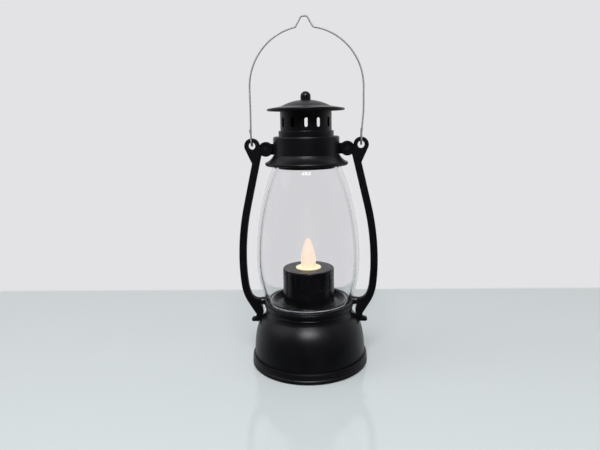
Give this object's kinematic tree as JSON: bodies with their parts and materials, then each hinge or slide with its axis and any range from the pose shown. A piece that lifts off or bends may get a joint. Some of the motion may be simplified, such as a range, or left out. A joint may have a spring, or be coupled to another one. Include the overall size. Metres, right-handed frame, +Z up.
{
  "type": "candle lantern",
  "caption": "Hurricane-style candle lantern: domed base, clear barrel globe round an electric candle, bowed side arms, vented cap and a wire bail to carry or hang it.",
  "frame": {"origin": "middle of the foot on the surface it stands on", "axes": "+Z up along the lantern's axis, +X to the right arm, +Y to the back"},
  "size_m": [0.0962, 0.0816, 0.234],
  "materials": {
    "black_plastic": "satin moulded",
    "candle_plastic": "satin moulded",
    "clear_plastic": "clear polished",
    "flame_plastic": "milky",
    "steel_wire": "drawn wire",
    "zinc_screws": "zinc plated",
    "nickel_contacts": "nickel plated",
    "cell_sleeve": "glossy sleeve",
    "board_laminate": "solder mask",
    "resistor_body": "matt",
    "led_lens": "milky",
    "switch_metal": "pressed sheet",
    "knob_plastic": "satin moulded",
    "lead_sleeve": "soft sleeve"
  },
  "bodies": {
    "lantern": {"lid": "black_plastic", "vent_band": "black_plastic", "cap_collar": "black_plastic", "left_arm": "black_plastic", "right_arm": "black_plastic", "base_bowl": "black_plastic", "base_foot": "black_plastic", "candle_body": "candle_plastic", "candle_plate": "candle_plastic", "globe": "clear_plastic", "flame_diffuser": "flame_plastic", "knuckle_pins": "steel_wire", "board_screws": "zinc_screws", "candle_screws": "zinc_screws", "foot_screws": "zinc_screws", "contact_springs": "nickel_contacts", "contact_plates": "nickel_contacts", "battery_cell_left": "cell_sleeve", "battery_cell_middle": "cell_sleeve", "battery_cell_right": "cell_sleeve", "circuit_board": "board_laminate", "resistor": "resistor_body", "led": "led_lens", "switch_housing": "switch_metal", "supply_lead": "lead_sleeve", "switch_lead": "lead_sleeve", "return_lead": "lead_sleeve"},
    "bail": {"bail": "steel_wire"},
    "switch_slider": {"switch_slider": "knob_plastic"},
    "battery_door": {"battery_door": "black_plastic"}
  },
  "joints": [
    {"name": "bail_swing", "type": "hinge", "parent": "lantern", "child": "bail", "pos_m": [0, 0, 0.15627], "axis": [1, 0, 0], "range_deg": [-110, 110]},
    {"name": "switch_slide", "type": "slide", "parent": "lantern", "child": "switch_slider", "axis": [0, 1, 0], "range_m": [-0.003, 0]},
    {"name": "battery_door_hinge", "type": "hinge", "parent": "lantern", "child": "battery_door", "pos_m": [0, -0.02505, 0.00275], "axis": [-1, 0, 0], "range_deg": [0, 100]}
  ]
}
